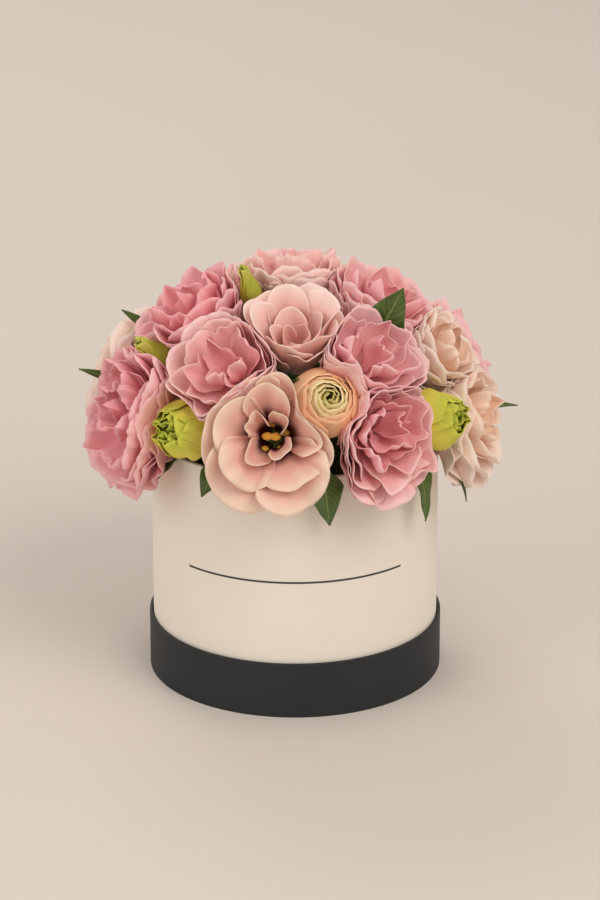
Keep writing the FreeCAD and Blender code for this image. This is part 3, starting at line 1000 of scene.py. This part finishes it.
class BloomKind(Enum):
    """Ways that a bloom is made up, from the heart outwards.

    Ball: count, widest, waves, frill, flare, fringe, breadth. Shells: count, crown, frill, opening.
    Row: count, tip, leans, half_width, frill, ring, start, draw, waves. Spindle: count, outer.
    """

    CARNATION = Make(0.006, 1.0, (34, 14), (Ball(46, 118.0, 2.3, 0.062, 36.0, 0.014),))
    SOFT = Make(0.006, 1.0, (32, 14), (Ball(40, 116.0, 1.6, 0.076, 40.0, 0.008),))
    RUFFLED = Make(0.006, 1.0, (28, 15), (Ball(44, 114.0, 1.35, 0.088, 46.0, 0.006, 0.90),))
    OPEN = Make(0.006, 1.6, (26, 22), (
        Row(4, (0.36, 1.06), (1, 14), 0.80, 0.060, 0.55, 0.9, 3, 0.8),
        Row(5, (0.80, 1.0), (10, 70), 0.92, 0.066, 0.75, 0.35, 1, 1.2),
        Row(6, (1.10, 0.82), (22, 100), 0.86, 0.068, 1.0, 0.0, 2, 1.3),
    ))
    CUP = Make(0.0055, 1.4, (26, 20), (
        Row(3, (0.22, 0.66), (5, -14), 1.25, 0.03, 0.2, 0.5, 4, 0.8),
        Row(4, (0.46, 0.82), (20, 4), 1.1, 0.045, 0.45, 0.2, 3, 0.9),
        Row(5, (0.82, 1.0), (42, 40), 0.86, 0.062, 0.75, 0.6, 2, 1.1),
        Row(5, (1.04, 0.84), (60, 84), 0.76, 0.08, 1.0, 0.0, 1),
    ))
    RANUNCULUS = Make(0.0045, 2.2, (16, 14), (Shells(36, 0.70, 0.02, 0.84),))
    GREEN_BUD = Make(0.0045, 2.2, (22, 16), (Shells(15, 0.84, 0.075, 0.66),))
    SLIM_BUD = Make(0.0035, 2.2, (12, 24), (Spindle(6, 4),))


BUD_KINDS = (BloomKind.RANUNCULUS, BloomKind.GREEN_BUD, BloomKind.SLIM_BUD)


@dataclass
class Bloom:
    """One bloom, made of separate petal sheets; lift is how far its crown stands out of the dome."""

    name: str
    kind: BloomKind
    azimuth: float
    elevation: float
    lift: float
    diameter: float
    height: float
    finish: PetalFinish
    seed: int = 0

    PETAL_THICKNESS = 0.00030

    @property
    def ray(self) -> Array:
        """Unit vector from the focus to the bloom."""
        return direction(self.azimuth, self.elevation)

    @property
    def radius(self) -> float:
        """Half the bloom's diameter."""
        return self.diameter / 2

    @property
    def neck(self) -> float:
        """Radius of the neck."""
        return self.kind.value.neck

    @property
    def neck_reach(self) -> float:
        """Distance of the neck from the focus."""
        return DOME_RADIUS + self.lift - self.height

    @property
    def sector(self) -> float:
        """Angle on the dome from the bloom's middle to its edge, in radians."""
        return math.atan(self.radius / (self.neck_reach + self.height / 2))

    @property
    def hold(self) -> float:
        """How strongly it stands against its neighbours: its sector times its firmness."""
        return self.sector * self.kind.value.firmness

    def world(self, rows: Array) -> Array:
        """Moves points from the bloom's own frame to its place on the dome.

        Args:
            rows: Points in the bloom's own frame.

        Returns:
            The points in the scene.
        """
        aside = sideways(self.azimuth)
        up = np.cross(self.ray, aside)
        place = FOCUS + self.ray * self.neck_reach
        return place + rows[:, :1] * aside + rows[:, 1:2] * up + rows[:, 2:3] * self.ray

    def build(self, crowd: "Crowd") -> Piece:
        """Models the bloom: one flat sheet, shaped anew for every petal.

        Args:
            crowd: The neighbours that hem it in.

        Returns:
            The bloom, as one object of thick petals.
        """
        pattern, across, along = Modeller.sheet(*self.kind.value.grid)
        petals = [petal for plan in self.kind.value.plans for petal in plan.petals(self)]
        copies = []
        for number, petal in enumerate(petals):
            mesh = pattern.data.copy()
            rows = crowd.squeeze(self.world(petal.shaped(across, along)))
            Modeller.move_points(mesh, clear_of_lip(rows))
            for label, value in (("ring", petal.ring), ("tone", petal.tone)):
                layer = mesh.attributes.new(label, "FLOAT", "POINT")
                layer.data.foreach_set("value", np.full(len(mesh.vertices), value, np.float32))
            piece = bpy.data.objects.new(f"{self.name}_petal_{number}", mesh)
            bpy.context.scene.collection.objects.link(piece)
            copies.append(piece)
        bpy.data.objects.remove(pattern)
        bloom = Modeller.join(copies, f"{self.name}_petals")
        Modeller.thicken(bloom, self.PETAL_THICKNESS)
        return bloom


@dataclass
class Crowd:
    """The neighbours round a bloom, and how far its petals may lean towards each of them.

    Everything is seen from the focus: a lean is an angle from the bloom's ray, and a bearing is the turn
    about that ray. A large neighbour stands behind a plane, and a bud only pushes a dent into the rim.
    """

    bloom: Bloom
    planes: list[tuple[float, float]] = field(default_factory=list)
    buds: list[tuple[float, float, float]] = field(default_factory=list)

    # How suddenly a petal stops at the limit, and how sharply one neighbour's limit meets the next
    HARDNESS = 3.6
    BLEND = 6.0
    # Petals reach a little past the plane between two blooms
    OVERLAP = 1.14
    # Lean where nothing presses, and the least that is left anywhere
    FREE = math.radians(80)
    LEAST = 0.05
    # Neighbours within this many times both sectors press, and a bud's dent widens this fast
    NEAR = 1.3
    DENT = 0.5

    def bearing(self, rays: Array) -> Array:
        """Turn of each ray about the bloom's own ray.

        Args:
            rays: Vectors from the focus.

        Returns:
            The turns in radians.
        """
        aside = sideways(self.bloom.azimuth)
        up = np.cross(self.bloom.ray, aside)
        return np.arctan2(rays @ up, rays @ aside)

    def meet(self, other: Bloom) -> None:
        """Takes in a neighbour, if it is near enough to press.

        Args:
            other: The neighbour.
        """
        angle = math.acos(float(np.clip(self.bloom.ray @ other.ray, -1, 1)))
        if self.bloom.kind in BUD_KINDS or angle > self.NEAR * (self.bloom.sector + other.sector):
            return
        bearing = float(self.bearing(other.ray))
        if other.kind in BUD_KINDS:
            self.buds.append((bearing, angle, other.sector))
            return
        share = self.bloom.hold / (self.bloom.hold + other.hold)
        self.planes.append((bearing, angle * share))

    def limit(self, bearings: Array) -> Array:
        """Largest lean at each bearing, blended over the neighbours.

        Args:
            bearings: Turns about the bloom's ray.

        Returns:
            The leans in radians.
        """
        crowding = np.full(bearings.shape, self.FREE ** -self.BLEND)
        for bearing, split in self.planes:
            facing = np.maximum(np.cos(bearings - bearing), self.LEAST)
            crowding += np.arctan(math.tan(split * self.OVERLAP) / facing) ** -self.BLEND
        for bearing, angle, radius in self.buds:
            turn = np.abs((bearings - bearing + np.pi) % FULL_TURN - np.pi)
            aside = angle * turn / radius
            room = np.minimum(angle - radius + self.DENT * radius * aside**2, self.FREE)
            crowding += np.maximum(room, self.LEAST) ** -self.BLEND
        return crowding ** (-1 / self.BLEND)

    def squeeze(self, rows: Array) -> Array:
        """Gathers points inside the room that the neighbours leave.

        Args:
            rows: Points of the bloom.

        Returns:
            The points, as far from the focus as before.
        """
        offset = rows - FOCUS
        reach = np.linalg.norm(offset, axis=1)
        along = offset @ self.bloom.ray
        lean = np.arccos(np.clip(along / reach, -1.0, 1.0))
        flat = offset - along[:, None] * self.bloom.ray
        flat /= np.maximum(np.linalg.norm(flat, axis=1, keepdims=True), TINY)
        share = lean / self.limit(self.bearing(offset))
        settled = (lean / (1 + share**self.HARDNESS) ** (1 / self.HARDNESS))[:, None]
        return FOCUS + reach[:, None] * (np.cos(settled) * self.bloom.ray + np.sin(settled) * flat)


def clear_of_lip(rows: Array) -> Array:
    """Keeps points out of the box: up over its lip, or out past its wall, whichever is nearer.

    Args:
        rows: Points in the scene.

    Returns:
        The points, moved where they were inside.
    """
    radius = np.hypot(rows[:, 0], rows[:, 1])
    up = LIP_LEVEL + RIM_GAP - rows[:, 2]
    out = BOX_RADIUS + RIM_GAP - radius
    inside = (up > 0) & (out > 0)
    lifted = inside & (up <= out)
    pushed = inside & (up > out)
    result = rows.copy()
    result[lifted, 2] = LIP_LEVEL + RIM_GAP
    share = (BOX_RADIUS + RIM_GAP) / np.maximum(radius[pushed], TINY)
    result[pushed, 0] *= share
    result[pushed, 1] *= share
    return result


@dataclass
class Heart:
    """Style, stigma and anthers in the throat of an open bloom."""

    bloom: Bloom
    anthers: int = 5
    anther_size: Triple = (0.0024, 0.00192, 0.00324)
    ring_radius: float = 0.0075
    stigma_size: Triple = (0.0030, 0.0022, 0.0016)
    stigma_place: Triple = (0.0022, 0.0004, 0.001)
    style_radius: float = 0.0016
    thread_radius: float = 0.0006

    # Height of the style as a share of the bloom's, and of the anthers as a share of the style's
    STYLE_HEIGHT = 0.56
    ANTHER_HEIGHT = 0.72
    ANTHER_SPREAD = 0.10
    FIRST_TURN = 0.4
    # Where a thread starts: nearer to the axis than its end, just over the neck
    FOOT_SHARE = 0.4
    FOOT_LEVEL = 0.002
    TAPER = 0.4
    LUMP = 0.10

    def bead(self, centre: Triple, size: Triple) -> Piece:
        """A lumpy bead of pollen.

        Args:
            centre: Middle, in the bloom's own frame.
            size: Half sizes across, across and along the axis.

        Returns:
            The bead.
        """
        Modeller.clear()
        bpy.ops.mesh.primitive_ico_sphere_add(subdivisions=3, radius=1.0)
        piece = bpy.context.active_object
        rows = Modeller.points(piece)
        lump = 1 + self.LUMP * np.sin(7 * rows[:, 0] + 3 * rows[:, 2]) * np.cos(6 * rows[:, 1])
        rows = rows * lump[:, None] * np.array(size) + np.array(centre)
        Modeller.move_points(piece.data, self.bloom.world(rows))
        return piece

    def thread(self, top: Triple, radius: float) -> Piece:
        """A thin tapered stalk from the neck to a point.

        Args:
            top: Upper end, in the bloom's own frame.
            radius: At the lower end.

        Returns:
            The stalk.
        """
        piece, rows, rise = Modeller.rod(10, radius)
        foot = np.array((top[0] * self.FOOT_SHARE, top[1] * self.FOOT_SHARE, self.FOOT_LEVEL))
        spine = between(foot, np.array(top), rise)
        flat = rows * np.array((1.0, 1.0, 0.0)) * (1 - self.TAPER * rise)
        Modeller.move_points(piece.data, self.bloom.world(spine + flat))
        return piece

    def build(self) -> Piece:
        """Models the heart as one object.

        Returns:
            The heart.
        """
        top = self.STYLE_HEIGHT * self.bloom.height
        pieces = [self.thread((0, 0, top), self.style_radius)]
        aside, forward, over = self.stigma_place
        for side in (-1, 1):
            pieces.append(self.bead((side * aside, forward, top + over), self.stigma_size))
        for number in range(self.anthers):
            angle = FULL_TURN * number / self.anthers + self.FIRST_TURN
            level = top * (self.ANTHER_HEIGHT + self.ANTHER_SPREAD * math.sin(2.3 * number))
            end = (self.ring_radius * math.cos(angle), self.ring_radius * math.sin(angle), level)
            pieces.append(self.thread(end, self.thread_radius))
            pieces.append(self.bead(end, self.anther_size))
        heart = Modeller.join(pieces, f"{self.bloom.name}_heart")
        Modeller.smooth(heart)
        return heart


@dataclass
class Leaf:
    """One pointed leaf on its stalk, with angles in degrees and lengths in metres.

    The blade starts at the box's radius plus overhang, from the focus. droop bends it below the stalk, swing
    turns it towards +azimuth, roll turns it about its rib, and bend is the radius that it curves by.
    """

    name: str
    azimuth: float
    elevation: float
    overhang: float
    length: float
    width: float
    droop: float
    swing: float
    roll: float
    bend: float

    STALK_RADIUS = 0.0011
    THICKNESS = 0.0006
    GRID = (14, 34)
    # Share of the length where the blade is widest, and how round it is before and after
    WIDEST = 0.38
    SWELLING = 0.8
    TAPERING = 0.85
    SHOULDER = 0.15
    LEAST_WIDTH = 0.0003
    # Fold along the rib, waves of the edges, and how much slimmer the stalk is at the blade
    FOLD = 0.16
    WAVE_DEPTH = 0.035
    WAVE_PACE = 15.0
    STALK_TAPER = 0.3

    @property
    def ray(self) -> Array:
        """Unit vector from the focus along the stalk."""
        return direction(self.azimuth, self.elevation)

    @property
    def reach(self) -> float:
        """Distance from the focus to the start of the blade."""
        return BOX_RADIUS + self.overhang

    def axes(self) -> Array:
        """The blade's own axes as columns: along the rib, across it, and out of its upper face.

        Returns:
            A matrix of three columns.
        """
        aside = sideways(self.azimuth)
        upper = -np.cross(aside, self.ray)
        start = np.stack((self.ray, aside, upper), axis=1)
        for angle, axis in ((self.swing, "Z"), (self.droop, "Y"), (self.roll, "X")):
            start = start @ np.array(Matrix.Rotation(math.radians(angle), 3, axis))
        return start

    def half_width(self, along: Array) -> Array:
        """Half the blade's width along the rib, from stalk to point.

        Args:
            along: From 0 at the stalk to 1 at the point.

        Returns:
            Half widths in metres.
        """
        swelling = np.sin(np.pi / 2 * np.minimum(along / self.WIDEST, 1.0)) ** self.SWELLING
        taper = np.clip((1 - along) / (1 - self.WIDEST), 0.0, 1.0)
        shoulder = 1 + self.SHOULDER * (1 - taper)
        closing = np.where(along > self.WIDEST, taper**self.TAPERING * shoulder, 1.0)
        return np.maximum(self.width / 2 * swelling * closing, self.LEAST_WIDTH)

    def blade(self) -> Piece:
        """Models the blade: folded a little along its rib, wavy at its edges and bent along its length.

        Returns:
            The blade.
        """
        piece, across, along = Modeller.sheet(*self.GRID)
        run = along * self.length
        aside = across * self.half_width(along)
        drop = np.sqrt(np.maximum(self.bend**2 - run**2, 0.0)) - self.bend
        fold = self.FOLD * np.abs(aside)
        wave = self.WAVE_DEPTH * self.width * across**2 * np.sin(along * self.WAVE_PACE + across)
        local = np.stack((run, aside, drop + fold + wave), axis=1)
        rows = FOCUS + self.ray * self.reach + local @ self.axes().T
        Modeller.move_points(piece.data, clear_of_lip(rows))
        Modeller.thicken(piece, self.THICKNESS)
        return piece

    def stalk(self) -> Piece:
        """Models the stalk, thicker where it leaves the foam.

        Returns:
            The stalk.
        """
        piece, rows, rise = Modeller.rod(12, self.STALK_RADIUS)
        aside = sideways(self.azimuth)
        upper = -np.cross(aside, self.ray)
        length = self.reach - STEM_INNER_REACH + self.STALK_RADIUS
        spine = FOCUS + self.ray * (STEM_INNER_REACH + length * rise)
        slim = 1 - self.STALK_TAPER * rise
        Modeller.move_points(piece.data, spine + (rows[:, :1] * aside + rows[:, 1:2] * upper) * slim)
        return piece

    def build(self) -> Piece:
        """Models the whole leaf.

        Returns:
            The leaf, as one object.
        """
        leaf = Modeller.join([self.blade(), self.stalk()], f"{self.name}_blade")
        Modeller.smooth(leaf)
        return leaf


@dataclass
class Bouquet:
    """Every bloom and leaf of the dome."""

    blooms: Sequence[Bloom]
    leaves: Sequence[Leaf]

    BODY = "bouquet"
    FIRST_SEED = 11

    def __post_init__(self) -> None:
        """Gives each bloom a seed of its own."""
        for number, bloom in enumerate(self.blooms):
            bloom.seed = self.FIRST_SEED + number

    def crowd(self, bloom: Bloom) -> Crowd:
        """The neighbours round a bloom.

        Args:
            bloom: The bloom.

        Returns:
            What hems it in.
        """
        crowd = Crowd(bloom)
        for other in self.blooms:
            if other is not bloom:
                crowd.meet(other)
        return crowd

    def finish_piece(self, piece: Piece, node: str, material: Material) -> None:
        """Dresses a piece and puts it on its body in place of its node.

        Args:
            piece: The modelled piece.
            node: The node that it stands for, or an empty name.
            material: Its finish.
        """
        piece.data.materials.clear()
        piece.data.materials.append(material)
        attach(piece, self.BODY)
        if node:
            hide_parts(node)
        LOG.info("%s: %d faces", piece.name, len(piece.data.polygons))

    def build(self) -> None:
        """Models and dresses every bloom and leaf."""
        finishes = dict.fromkeys(bloom.finish for bloom in self.blooms)
        petal_materials = {finish: finish.material() for finish in finishes}
        pollen = POLLEN.material()
        for bloom in self.blooms:
            material = petal_materials[bloom.finish]
            self.finish_piece(bloom.build(self.crowd(bloom)), bloom.name, material)
            if bloom.kind is BloomKind.OPEN:
                self.finish_piece(Heart(bloom).build(), "", pollen)
        leaf_material = LeafFinish().material()
        for leaf in self.leaves:
            self.finish_piece(leaf.build(), leaf.name, leaf_material)


@dataclass
class Casework:
    """The papered box and lid, and the insert's hidden pieces, which keep their shape from the frame."""

    rule_level: float = 0.0795
    rule_half_angle: float = 46.5
    rule_height: float = 0.0011
    rule_proud: float = 0.00006

    RULE_GRID = (96, 2)
    FINISHES = {
        CHARCOAL_PAPER: ("lid_panel_paper", "lid_side_paper", "lid_floor_lining"),
        BOARD: ("lid_panel_board", "lid_rim_board", "box_wall_board", "box_base_board"),
        CREAM_PAPER: (
            "box_side_paper", "box_base_paper", "box_back_seam", "box_wall_lining", "box_base_lining",
        ),
        PLASTIC: ("liner_pot",),
        FOAM: ("floral_foam",),
        STEM: ("calyxes", "lisianthus_stems", "ranunculus_stems", "slim_bud_stems"),
    }

    def dress(self) -> None:
        """Gives every kept node its finish."""
        for finish, names in self.FINISHES.items():
            material = finish.material()
            for name in names:
                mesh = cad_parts[name].data
                mesh.materials.clear()
                mesh.materials.append(material)
                LOG.info("%s: %s", name, material.name)

    def rule(self) -> Piece:
        """Models the thin printed line round the front of the box.

        Returns:
            The line.
        """
        piece, across, along = Modeller.sheet(*self.RULE_GRID)
        piece.name = "printed_rule"
        angle = np.radians(self.rule_half_angle) * across
        radius = BOX_RADIUS + self.rule_proud
        level = self.rule_level + self.rule_height * (along - 0.5)
        rows = np.stack((radius * np.sin(angle), -radius * np.cos(angle), level), axis=1)
        Modeller.move_points(piece.data, rows)
        Modeller.thicken(piece, self.rule_proud)
        piece.data.materials.append(INK.material())
        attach(piece, "box")
        return piece


@dataclass
class Studio:
    """Pale floor, soft lamps and the camera at the photograph's angle."""

    camera_elevation: float = 21.0
    camera_distance: float = 2.2
    lens: float = 157.5
    aim: Triple = (0.0028, 0.0, 0.1263)
    floor_finish: GrainFinish = GrainFinish(
        "floor", srgb(218, 209, 200), scaled(srgb(218, 209, 200), 0.96), scale=3.0, detail=2.0,
        roughness=0.9, specular=0.1,
    )
    background: Colour = srgb(226, 218, 210)
    world_level: float = 0.56
    world_colour: Colour = (1.0, 0.95, 0.90)

    FLOOR_SIZE = 40.0
    SENSOR_WIDTH = 36.0
    LAMP_AIM = Vector((0, 0, 0.13))

    def floor(self) -> None:
        """Lays a wide plain floor."""
        Modeller.clear()
        bpy.ops.mesh.primitive_plane_add(size=self.FLOOR_SIZE)
        floor = bpy.context.active_object
        floor.name = "floor"
        floor.data.materials.append(self.floor_finish.material())

    def lamp(self, name: str, place: Sequence[float], size: float, power: float, colour: Colour) -> None:
        """Adds a square soft lamp that faces the bouquet.

        Args:
            name: The lamp's name.
            place: Where it hangs.
            size: Side of its square.
            power: In watts.
            colour: Its colour.
        """
        light = bpy.data.lights.new(name, "AREA")
        light.size = size
        light.energy = power
        light.color = colour
        lamp = bpy.data.objects.new(name, light)
        bpy.context.scene.collection.objects.link(lamp)
        lamp.location = place
        lamp.rotation_euler = (self.LAMP_AIM - Vector(place)).to_track_quat("-Z", "Y").to_euler()

    def world(self) -> None:
        """Lights all round, and shows a pale background to the camera."""
        world = bpy.data.worlds.new("studio")
        bpy.context.scene.world = world
        shader = Shader(world)
        shader.tree.nodes.clear()
        path = shader.add("ShaderNodeLightPath", {}).outputs
        seen = shader.math("MAXIMUM", path["Is Camera Ray"], path["Is Glossy Ray"])
        light = {"Color": (*self.world_colour, 1.0), "Strength": self.world_level}
        around = shader.add("ShaderNodeBackground", light).outputs[0]
        behind = shader.add("ShaderNodeBackground", {"Color": (*self.background, 1.0)}).outputs[0]
        mixed = shader.add("ShaderNodeMixShader", {0: seen, 1: around, 2: behind}).outputs[0]
        shader.add("ShaderNodeOutputWorld", {"Surface": mixed})

    def camera(self) -> None:
        """Sets up the camera."""
        rise = math.radians(self.camera_elevation)
        back = Vector((0.0, -math.cos(rise), math.sin(rise)))
        data = bpy.data.cameras.new("camera")
        data.lens = self.lens
        data.sensor_width = self.SENSOR_WIDTH
        camera = bpy.data.objects.new("camera", data)
        bpy.context.scene.collection.objects.link(camera)
        camera.location = Vector(self.aim) + back * self.camera_distance
        camera.rotation_euler = (-back).to_track_quat("-Z", "Y").to_euler()
        bpy.context.scene.camera = camera

    def build(self) -> None:
        """Sets up floor, lamps, world and camera."""
        self.floor()
        self.lamp("key", place=(1.0, -1.3, 1.7), size=1.3, power=22.0, colour=(1.0, 0.96, 0.91))
        self.lamp("fill", place=(-1.5, -1.0, 0.9), size=1.4, power=9.0, colour=(1.0, 0.98, 0.96))
        self.lamp("rim", place=(-0.6, 1.5, 1.5), size=1.0, power=10.0, colour=(1.0, 0.97, 0.93))
        self.world()
        self.camera()
        bpy.context.scene.view_settings.view_transform = "Standard"


# Kind, azimuth and elevation as seen from the focus, lift, diameter, height and finish
BLOOMS = (
    Bloom("left_ruffled_bloom", BloomKind.CARNATION, -67, 20, 0.004, 0.082, 0.050, ROSE),
    Bloom("upper_left_ruffled_bloom", BloomKind.RUFFLED, -78, 55, -0.002, 0.076, 0.046, ROSE),
    Bloom("mid_left_ruffled_bloom", BloomKind.RUFFLED, -27, 41, 0.002, 0.078, 0.046, GUARDED),
    Bloom("front_open_bloom", BloomKind.OPEN, -8, 22.5, -0.002, 0.082, 0.036, THROATED),
    Bloom("crown_cup_bloom", BloomKind.CUP, 1, 60, -0.007, 0.064, 0.042, CUPPED),
    Bloom("top_pale_bloom", BloomKind.RUFFLED, 180, 81, -0.006, 0.070, 0.042, BLUSH),
    Bloom("upper_right_ruffled_bloom", BloomKind.RUFFLED, 76, 59, -0.003, 0.076, 0.046, PINK),
    Bloom("mid_right_ruffled_bloom", BloomKind.RUFFLED, 31, 44, 0.002, 0.078, 0.046, MALLOW),
    Bloom("lower_right_ruffled_bloom", BloomKind.RUFFLED, 29, 23, 0.003, 0.070, 0.046, PINK),
    Bloom("right_upper_peach_bloom", BloomKind.SOFT, 76, 37, 0.002, 0.064, 0.042, PEACH),
    Bloom("right_lower_peach_bloom", BloomKind.SOFT, 75, 16, 0.002, 0.072, 0.046, PEACH),
    Bloom("back_right_ruffled_bloom", BloomKind.RUFFLED, 118, 20, 0.003, 0.084, 0.047, PINK),
    Bloom("back_open_bloom", BloomKind.OPEN, 163, 22, -0.002, 0.084, 0.036, THROATED),
    Bloom("back_left_ruffled_bloom", BloomKind.RUFFLED, -156, 20, 0.003, 0.086, 0.047, ROSE),
    Bloom("back_left_peach_bloom", BloomKind.SOFT, -111, 18, 0.004, 0.079, 0.044, PEACH),
    Bloom("front_ranunculus", BloomKind.RANUNCULUS, 12, 33.5, -0.003, 0.034, 0.031, CREAM),
    Bloom("back_ranunculus", BloomKind.RANUNCULUS, -178, 51, -0.004, 0.048, 0.032, CREAM),
    Bloom("back_right_ranunculus", BloomKind.RANUNCULUS, 130, 48, -0.004, 0.044, 0.030, CREAM),
    Bloom("left_green_bud", BloomKind.GREEN_BUD, -41, 20, 0.000, 0.032, 0.029, LIME),
    Bloom("right_green_bud", BloomKind.GREEN_BUD, 54, 20, 0.005, 0.031, 0.029, LIME),
    Bloom("back_left_green_bud", BloomKind.GREEN_BUD, -130, 47, -0.003, 0.042, 0.030, LIME),
    Bloom("left_slim_bud", BloomKind.SLIM_BUD, -70, 38, 0.003, 0.015, 0.034, OLIVE),
    Bloom("top_slim_bud", BloomKind.SLIM_BUD, -68, 74, -0.002, 0.014, 0.026, OLIVE),
)
# Azimuth, elevation, overhang, length, width, droop, swing, roll and bend
LEAVES = (
    Leaf("front_leaf", 11, 10, 0.002, 0.029, 0.020, 56, -4, 10, 0.060),
    Leaf("front_right_leaf", 51, 10, 0.002, 0.037, 0.019, 62, 0, -12, 0.060),
    Leaf("right_curl_leaf", 65, 9.5, 0.006, 0.034, 0.007, 45, 4, 0, 0.045),
    Leaf("upper_right_leaf", 47, 51.5, 0.014, 0.038, 0.025, -8, 0, 118, 0.150),
    Leaf("centre_leaf", -2, 42.5, -0.004, 0.025, 0.013, 0, 6, 20, 0.090),
    Leaf("left_low_leaf", -53, 10, 0.000, 0.020, 0.014, 38, 8, 15, 0.070),
    Leaf("left_front_leaf", -31, 10, 0.000, 0.021, 0.015, 46, -8, -10, 0.070),
    Leaf("upper_left_leaf", -100.5, 37.5, 0.012, 0.030, 0.009, 0, 0, 80, 0.120),
    Leaf("far_left_leaf", -90, 21, 0.012, 0.036, 0.008, 0, 0, 85, 0.150),
    Leaf("far_right_leaf", 94.5, 10.5, 0.008, 0.038, 0.007, -4, 0, 40, 0.060),
    Leaf("back_right_leaf", 141, 10, 0.002, 0.034, 0.019, 56, 0, 10, 0.060),
    Leaf("back_leaf", 179, 10, 0.002, 0.036, 0.020, 54, 4, 0, 0.060),
    Leaf("back_left_leaf", -131.5, 10, 0.002, 0.032, 0.016, 54, 0, -8, 0.060),
)


def main() -> None:
    """Builds the box, the bouquet and the studio."""
    logging.basicConfig(level=logging.INFO, format="%(message)s")
    casework = Casework()
    casework.dress()
    LOG.info("%s", casework.rule().name)
    Bouquet(BLOOMS, LEAVES).build()
    Studio().build()


if __name__ == "__main__":
    main()
